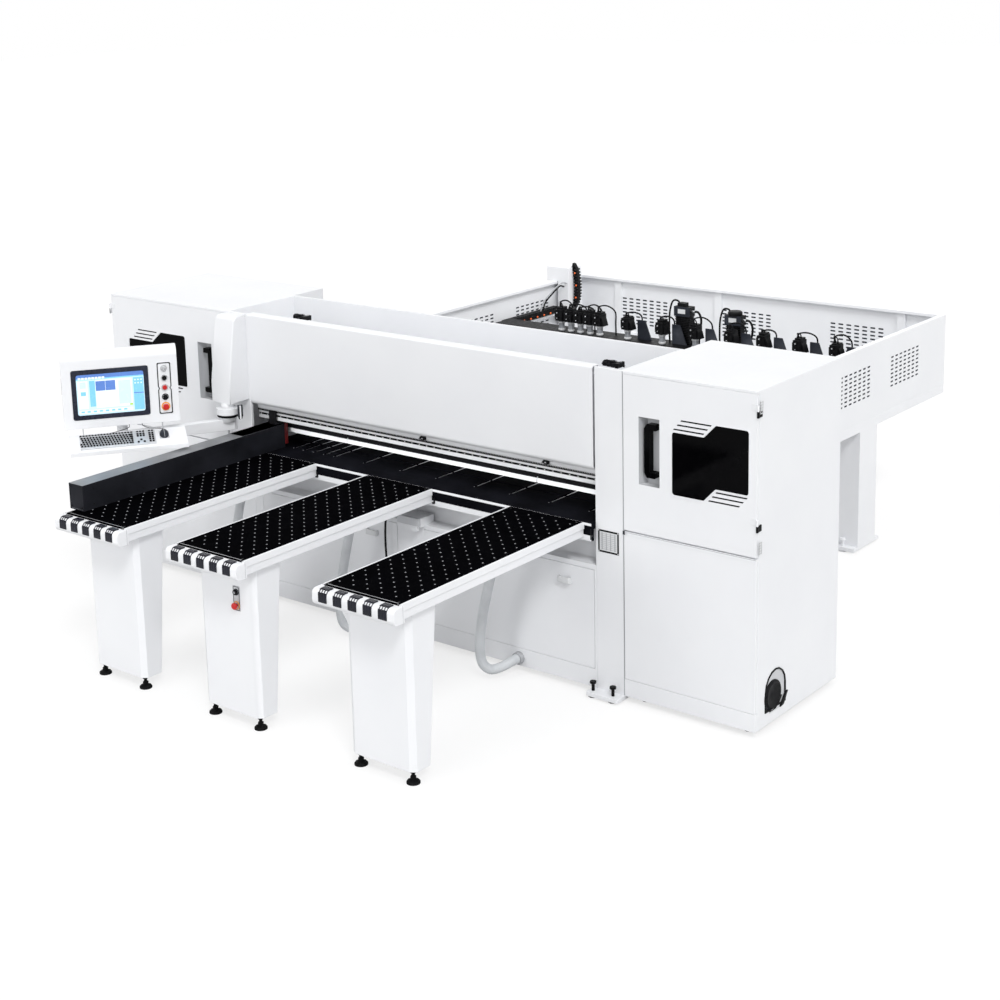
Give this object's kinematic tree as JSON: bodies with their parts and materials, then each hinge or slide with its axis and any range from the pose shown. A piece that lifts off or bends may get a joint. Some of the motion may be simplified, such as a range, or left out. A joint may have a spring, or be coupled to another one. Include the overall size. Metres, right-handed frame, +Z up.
{
  "type": "beam saw",
  "caption": "Panel-sizing beam saw with a rising saw carriage, pressure beam, front air tables, rear gripper pusher and swivelling operator console.",
  "frame": {"origin": "on the floor under the middle of the machine's bounding box", "axes": "+X along the saw line towards the right cabinet, +Y from the operator's side to the back, +Z up"},
  "size_m": [5.1976, 6.151, 1.953],
  "materials": {
    "white_paint": "satin",
    "black_plate": "satin",
    "dark_steel": "satin",
    "bright_steel": "brushed",
    "beam_aluminium": "satin",
    "anodised_fence": "satin",
    "smoked_pane": "gloss",
    "black_plastic": "matte",
    "grey_plastic": "gloss",
    "red_plastic": "gloss",
    "grey_hose": "matte"
  },
  "bodies": {
    "machine": {"right_post": "white_paint", "left_post": "white_paint", "base_frame": "white_paint", "base_left_panel": "white_paint", "base_right_panel": "white_paint", "beam_girder": "white_paint", "beam_front_cover": "white_paint", "main_table": "black_plate", "rear_table": "black_plate", "right_cabinet": "white_paint", "right_lower_panel": "white_paint", "extraction_port": "black_plastic", "left_cabinet": "white_paint", "left_lower_panel": "white_paint", "column_housing": "white_paint", "air_table_1_frame": "white_paint", "air_table_2_frame": "white_paint", "air_table_3_frame": "white_paint", "air_table_1_plate": "black_plate", "air_table_2_plate": "black_plate", "air_table_3_plate": "black_plate", "air_hose_1": "grey_hose", "air_hose_2": "grey_hose", "air_hose_3": "grey_hose", "table_leg_1": "white_paint", "table_leg_2": "white_paint", "table_leg_3": "white_paint", "fence": "anodised_fence", "back_guard": "white_paint", "right_guard": "white_paint", "left_guard": "white_paint", "rear_frame": "white_paint", "cable_pillar": "white_paint"},
    "right_door": {"right_door": "white_paint", "right_door_window": "smoked_pane"},
    "left_door": {"left_door": "white_paint", "left_door_window": "smoked_pane"},
    "pressure_beam": {"pressure_beam": "beam_aluminium"},
    "side_aligner": {"side_aligner": "red_plastic"},
    "saw_carriage": {"saw_carriage": "dark_steel"},
    "saw_unit": {"saw_unit": "dark_steel"},
    "main_blade": {"main_blade": "bright_steel"},
    "scoring_blade": {"scoring_blade": "bright_steel"},
    "pusher": {"pusher_beam": "dark_steel"},
    "jaw_1": {"gripper_jaw_1": "bright_steel"},
    "jaw_2": {"gripper_jaw_2": "bright_steel"},
    "jaw_3": {"gripper_jaw_3": "bright_steel"},
    "jaw_4": {"gripper_jaw_4": "bright_steel"},
    "jaw_5": {"gripper_jaw_5": "bright_steel"},
    "swing_arm": {"swing_arm": "white_paint"},
    "console": {"console_housing": "white_paint", "monitor": "black_plastic", "keyboard_tray": "white_paint"},
    "grey_button": {"grey_button": "grey_plastic"},
    "dark_button": {"dark_button": "black_plastic"},
    "red_button": {"red_button": "red_plastic"},
    "selector_switch": {"selector_switch": "black_plastic"},
    "console_stop_button": {"console_stop_button": "red_plastic"},
    "leg_button": {"leg_button": "grey_plastic"},
    "leg_stop_button": {"leg_stop_button": "red_plastic"}
  },
  "joints": [
    {"name": "right_door_hinge", "type": "hinge", "parent": "machine", "child": "right_door", "pos_m": [2.5918, -1.3755, 1.531], "axis": [0, 0, 1], "range_deg": [0, 110]},
    {"name": "left_door_hinge", "type": "hinge", "parent": "machine", "child": "left_door", "pos_m": [-2.5918, -1.3755, 1.531], "axis": [0, 0, -1], "range_deg": [0, 110]},
    {"name": "pressure_beam_press", "type": "slide", "parent": "machine", "child": "pressure_beam", "axis": [0, 0, -1], "range_m": [0, 0.0845]},
    {"name": "side_aligner_travel", "type": "slide", "parent": "machine", "child": "side_aligner", "axis": [1, 0, 0], "range_m": [0, 2.2]},
    {"name": "saw_carriage_travel", "type": "slide", "parent": "machine", "child": "saw_carriage", "axis": [1, 0, 0], "range_m": [-2.5, 0]},
    {"name": "saw_unit_lift", "type": "slide", "parent": "saw_carriage", "child": "saw_unit", "axis": [0, 0, 1], "range_m": [0, 0.125]},
    {"name": "main_blade_spin", "type": "hinge", "parent": "saw_unit", "child": "main_blade", "pos_m": [1.5115, -1.0705, 0.81], "axis": [0, 1, 0], "continuous": true},
    {"name": "scoring_blade_spin", "type": "hinge", "parent": "saw_unit", "child": "scoring_blade", "pos_m": [1.2115, -1.0705, 0.834], "axis": [0, 1, 0], "continuous": true},
    {"name": "pusher_travel", "type": "slide", "parent": "machine", "child": "pusher", "axis": [0, 1, 0], "range_m": [-2.18, 0.65]},
    {"name": "jaw_1_clamp", "type": "slide", "parent": "pusher", "child": "jaw_1", "axis": [0, 0, -1], "range_m": [0, 0.04]},
    {"name": "jaw_2_clamp", "type": "slide", "parent": "pusher", "child": "jaw_2", "axis": [0, 0, -1], "range_m": [0, 0.04]},
    {"name": "jaw_3_clamp", "type": "slide", "parent": "pusher", "child": "jaw_3", "axis": [0, 0, -1], "range_m": [0, 0.04]},
    {"name": "jaw_4_clamp", "type": "slide", "parent": "pusher", "child": "jaw_4", "axis": [0, 0, -1], "range_m": [0, 0.04]},
    {"name": "jaw_5_clamp", "type": "slide", "parent": "pusher", "child": "jaw_5", "axis": [0, 0, -1], "range_m": [0, 0.04]},
    {"name": "swing_arm_pivot", "type": "hinge", "parent": "machine", "child": "swing_arm", "pos_m": [-1.3035, -1.5075, 1.29], "axis": [0, 0, 1], "range_deg": [-35, 30]},
    {"name": "console_swivel", "type": "hinge", "parent": "swing_arm", "child": "console", "pos_m": [-1.62935, -2.12816, 1.333], "axis": [0, 0, 1], "range_deg": [-60, 15]},
    {"name": "grey_button_press", "type": "slide", "parent": "console", "child": "grey_button", "axis": [-0.8007, 0.599, 0], "range_m": [0, 0.004], "stiffness_N_per_m": 600},
    {"name": "dark_button_press", "type": "slide", "parent": "console", "child": "dark_button", "axis": [-0.8007, 0.599, 0], "range_m": [0, 0.004], "stiffness_N_per_m": 600},
    {"name": "red_button_press", "type": "slide", "parent": "console", "child": "red_button", "axis": [-0.8007, 0.599, 0], "range_m": [0, 0.004], "stiffness_N_per_m": 600},
    {"name": "selector_switch_turn", "type": "hinge", "parent": "console", "child": "selector_switch", "pos_m": [-1.38035, -1.96726, 1.4995], "axis": [0.8007, -0.599, 0], "range_deg": [-45, 45]},
    {"name": "console_stop_button_press", "type": "slide", "parent": "console", "child": "console_stop_button", "axis": [-0.8007, 0.599, 0], "range_m": [0, 0.004], "stiffness_N_per_m": 600},
    {"name": "leg_button_press", "type": "slide", "parent": "machine", "child": "leg_button", "axis": [0, 1, 0], "range_m": [0, 0.004], "stiffness_N_per_m": 600},
    {"name": "leg_stop_button_press", "type": "slide", "parent": "machine", "child": "leg_stop_button", "axis": [0, 1, 0], "range_m": [0, 0.004], "stiffness_N_per_m": 600}
  ],
  "couplings": [
    {"joint": "jaw_2_clamp", "follows": "jaw_1_clamp", "ratio": 1},
    {"joint": "jaw_3_clamp", "follows": "jaw_1_clamp", "ratio": 1},
    {"joint": "jaw_4_clamp", "follows": "jaw_1_clamp", "ratio": 1},
    {"joint": "jaw_5_clamp", "follows": "jaw_1_clamp", "ratio": 1}
  ]
}
